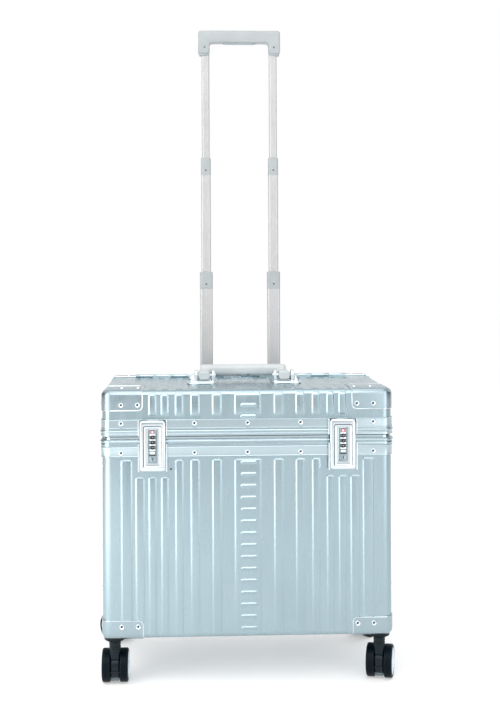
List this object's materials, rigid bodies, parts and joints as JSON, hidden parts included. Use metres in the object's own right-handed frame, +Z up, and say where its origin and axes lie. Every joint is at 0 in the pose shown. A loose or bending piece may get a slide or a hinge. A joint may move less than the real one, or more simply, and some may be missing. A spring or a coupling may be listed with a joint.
{
  "type": "hard shell suitcase on wheels",
  "caption": "Ribbed aluminium hard shell suitcase with a hinged lid, combination latches, carry handle, telescopic trolley and swivelling twin-wheel casters.",
  "frame": {"origin": "on the floor, under the centre of the whole suitcase", "axes": "+Z up, front with the latches faces -Y, +X to the right seen from the front"},
  "size_m": [0.489, 0.2751, 1.0525],
  "materials": {
    "ribbed_aluminium": "satin anodised sheet, pressed ribs",
    "frame_aluminium": "satin anodised extrusion",
    "guard_aluminium": "bead-blasted pressing",
    "rivet_steel": "polished",
    "lining_fabric": "woven lining on board",
    "trolley_grey": "satin, fluted",
    "grip_grey": "satin moulded",
    "button_grey": "satin moulded",
    "polished_metal": "satin chrome",
    "lock_satin": "satin",
    "dial_black": "moulded",
    "caster_plastic": "moulded",
    "wheel_rubber": "moulded polyurethane tread"
  },
  "bodies": {
    "case": {"body_shell": "ribbed_aluminium", "body_frame": "frame_aluminium", "deck_frame": "frame_aluminium", "rim_tongue": "frame_aluminium", "body_rivets": "rivet_steel", "bottom_guard_front_left": "guard_aluminium", "bottom_guard_front_right": "guard_aluminium", "bottom_guard_rear_left": "guard_aluminium", "bottom_guard_rear_right": "guard_aluminium", "deck_guards": "guard_aluminium", "rear_partition": "frame_aluminium", "body_lining": "lining_fabric", "trolley_bezel": "grip_grey", "trolley_outer_tubes": "trolley_grey", "latch_backings": "polished_metal", "latch_cheeks": "polished_metal", "latch_strikes": "polished_metal", "hinge_leaf_body": "frame_aluminium", "hinge_pin": "rivet_steel", "caster_plates": "caster_plastic"},
    "lid": {"lid_shell": "ribbed_aluminium", "lid_frame": "frame_aluminium", "lid_rivets": "rivet_steel", "lid_guard_left": "guard_aluminium", "lid_guard_right": "guard_aluminium", "latch_mounts": "polished_metal", "latch_pins": "rivet_steel", "carry_mount_left": "polished_metal", "carry_mount_right": "polished_metal", "carry_pins": "rivet_steel", "hinge_leaf_lid": "frame_aluminium", "lid_lining": "lining_fabric"},
    "carry_handle": {"carry_grip": "grip_grey"},
    "latch_left": {"latch_lever_left": "polished_metal", "lock_insert_left": "lock_satin"},
    "dial_left_1": {"dial_left_1": "dial_black"},
    "dial_left_2": {"dial_left_2": "dial_black"},
    "dial_left_3": {"dial_left_3": "dial_black"},
    "latch_button_left": {"latch_button_left": "polished_metal"},
    "key_cylinder_left": {"key_cylinder_left": "polished_metal"},
    "latch_right": {"latch_lever_right": "polished_metal", "lock_insert_right": "lock_satin"},
    "dial_right_1": {"dial_right_1": "dial_black"},
    "dial_right_2": {"dial_right_2": "dial_black"},
    "dial_right_3": {"dial_right_3": "dial_black"},
    "latch_button_right": {"latch_button_right": "polished_metal"},
    "key_cylinder_right": {"key_cylinder_right": "polished_metal"},
    "trolley_lower": {"trolley_stage_lower": "trolley_grey"},
    "trolley_middle": {"trolley_stage_middle": "trolley_grey"},
    "trolley_upper": {"trolley_stage_upper": "trolley_grey", "trolley_grip": "grip_grey"},
    "trolley_button": {"trolley_button": "button_grey"},
    "caster_front_left": {"caster_fork_front_left": "caster_plastic"},
    "wheels_front_left": {"caster_wheels_front_left": "wheel_rubber"},
    "caster_front_right": {"caster_fork_front_right": "caster_plastic"},
    "wheels_front_right": {"caster_wheels_front_right": "wheel_rubber"},
    "caster_rear_left": {"caster_fork_rear_left": "caster_plastic"},
    "wheels_rear_left": {"caster_wheels_rear_left": "wheel_rubber"},
    "caster_rear_right": {"caster_fork_rear_right": "caster_plastic"},
    "wheels_rear_right": {"caster_wheels_rear_right": "wheel_rubber"}
  },
  "joints": [
    {"name": "lid_hinge", "type": "hinge", "parent": "case", "child": "lid", "pos_m": [0, 0.0798, 0.4574], "axis": [-1, 0, 0], "range_deg": [0, 65]},
    {"name": "carry_handle_fold", "type": "hinge", "parent": "lid", "child": "carry_handle", "pos_m": [0, -0.017, 0.467], "axis": [1, 0, 0], "range_deg": [0, 90]},
    {"name": "latch_lift_left", "type": "hinge", "parent": "lid", "child": "latch_left", "pos_m": [-0.145, -0.1262, 0.4074], "axis": [-1, 0, 0], "range_deg": [0, 100]},
    {"name": "dial_turn_left_1", "type": "hinge", "parent": "latch_left", "child": "dial_left_1", "pos_m": [-0.145, -0.1291, 0.3848], "axis": [0, 0, 1], "continuous": true},
    {"name": "dial_turn_left_2", "type": "hinge", "parent": "latch_left", "child": "dial_left_2", "pos_m": [-0.145, -0.1291, 0.3771], "axis": [0, 0, 1], "continuous": true},
    {"name": "dial_turn_left_3", "type": "hinge", "parent": "latch_left", "child": "dial_left_3", "pos_m": [-0.145, -0.1291, 0.3694], "axis": [0, 0, 1], "continuous": true},
    {"name": "latch_press_left", "type": "slide", "parent": "latch_left", "child": "latch_button_left", "axis": [0, 1, 0], "range_m": [0, 0.0015], "stiffness_N_per_m": 300},
    {"name": "key_turn_left", "type": "hinge", "parent": "latch_left", "child": "key_cylinder_left", "pos_m": [-0.145, -0.132, 0.3515], "axis": [0, -1, 0], "range_deg": [0, 90]},
    {"name": "latch_lift_right", "type": "hinge", "parent": "lid", "child": "latch_right", "pos_m": [0.145, -0.1262, 0.4074], "axis": [-1, 0, 0], "range_deg": [0, 100]},
    {"name": "dial_turn_right_1", "type": "hinge", "parent": "latch_right", "child": "dial_right_1", "pos_m": [0.145, -0.1291, 0.3848], "axis": [0, 0, 1], "continuous": true},
    {"name": "dial_turn_right_2", "type": "hinge", "parent": "latch_right", "child": "dial_right_2", "pos_m": [0.145, -0.1291, 0.3771], "axis": [0, 0, 1], "continuous": true},
    {"name": "dial_turn_right_3", "type": "hinge", "parent": "latch_right", "child": "dial_right_3", "pos_m": [0.145, -0.1291, 0.3694], "axis": [0, 0, 1], "continuous": true},
    {"name": "latch_press_right", "type": "slide", "parent": "latch_right", "child": "latch_button_right", "axis": [0, 1, 0], "range_m": [0, 0.0015], "stiffness_N_per_m": 300},
    {"name": "key_turn_right", "type": "hinge", "parent": "latch_right", "child": "key_cylinder_right", "pos_m": [0.145, -0.132, 0.3515], "axis": [0, -1, 0], "range_deg": [0, 90]},
    {"name": "trolley_slide_lower", "type": "slide", "parent": "case", "child": "trolley_lower", "axis": [0, 0, 1], "range_m": [-0.175, 0]},
    {"name": "trolley_slide_middle", "type": "slide", "parent": "trolley_lower", "child": "trolley_middle", "axis": [0, 0, 1], "range_m": [-0.19, 0]},
    {"name": "trolley_slide_upper", "type": "slide", "parent": "trolley_middle", "child": "trolley_upper", "axis": [0, 0, 1], "range_m": [-0.175, 0]},
    {"name": "trolley_release", "type": "slide", "parent": "trolley_upper", "child": "trolley_button", "axis": [0, 0, 1], "range_m": [0, 0.0025], "stiffness_N_per_m": 400},
    {"name": "caster_swivel_front_left", "type": "hinge", "parent": "case", "child": "caster_front_left", "pos_m": [-0.205, -0.097, 0.0672], "axis": [0, 0, 1], "continuous": true},
    {"name": "wheel_spin_front_left", "type": "hinge", "parent": "caster_front_left", "child": "wheels_front_left", "pos_m": [-0.205, -0.085, 0.0254], "axis": [1, 0, 0], "continuous": true},
    {"name": "caster_swivel_front_right", "type": "hinge", "parent": "case", "child": "caster_front_right", "pos_m": [0.205, -0.097, 0.0672], "axis": [0, 0, 1], "continuous": true},
    {"name": "wheel_spin_front_right", "type": "hinge", "parent": "caster_front_right", "child": "wheels_front_right", "pos_m": [0.20831, -0.08546, 0.0254], "axis": [0.9613, -0.2756, 0], "continuous": true},
    {"name": "caster_swivel_rear_left", "type": "hinge", "parent": "case", "child": "caster_rear_left", "pos_m": [-0.205, 0.102, 0.0672], "axis": [0, 0, 1], "continuous": true},
    {"name": "wheel_spin_rear_left", "type": "hinge", "parent": "caster_rear_left", "child": "wheels_rear_left", "pos_m": [-0.21349, 0.11048, 0.0254], "axis": [0.7071, 0.7071, 0], "continuous": true},
    {"name": "caster_swivel_rear_right", "type": "hinge", "parent": "case", "child": "caster_rear_right", "pos_m": [0.205, 0.102, 0.0672], "axis": [0, 0, 1], "continuous": true},
    {"name": "wheel_spin_rear_right", "type": "hinge", "parent": "caster_rear_right", "child": "wheels_rear_right", "pos_m": [0.21349, 0.11048, 0.0254], "axis": [0.7071, -0.7071, 0], "continuous": true}
  ]
}
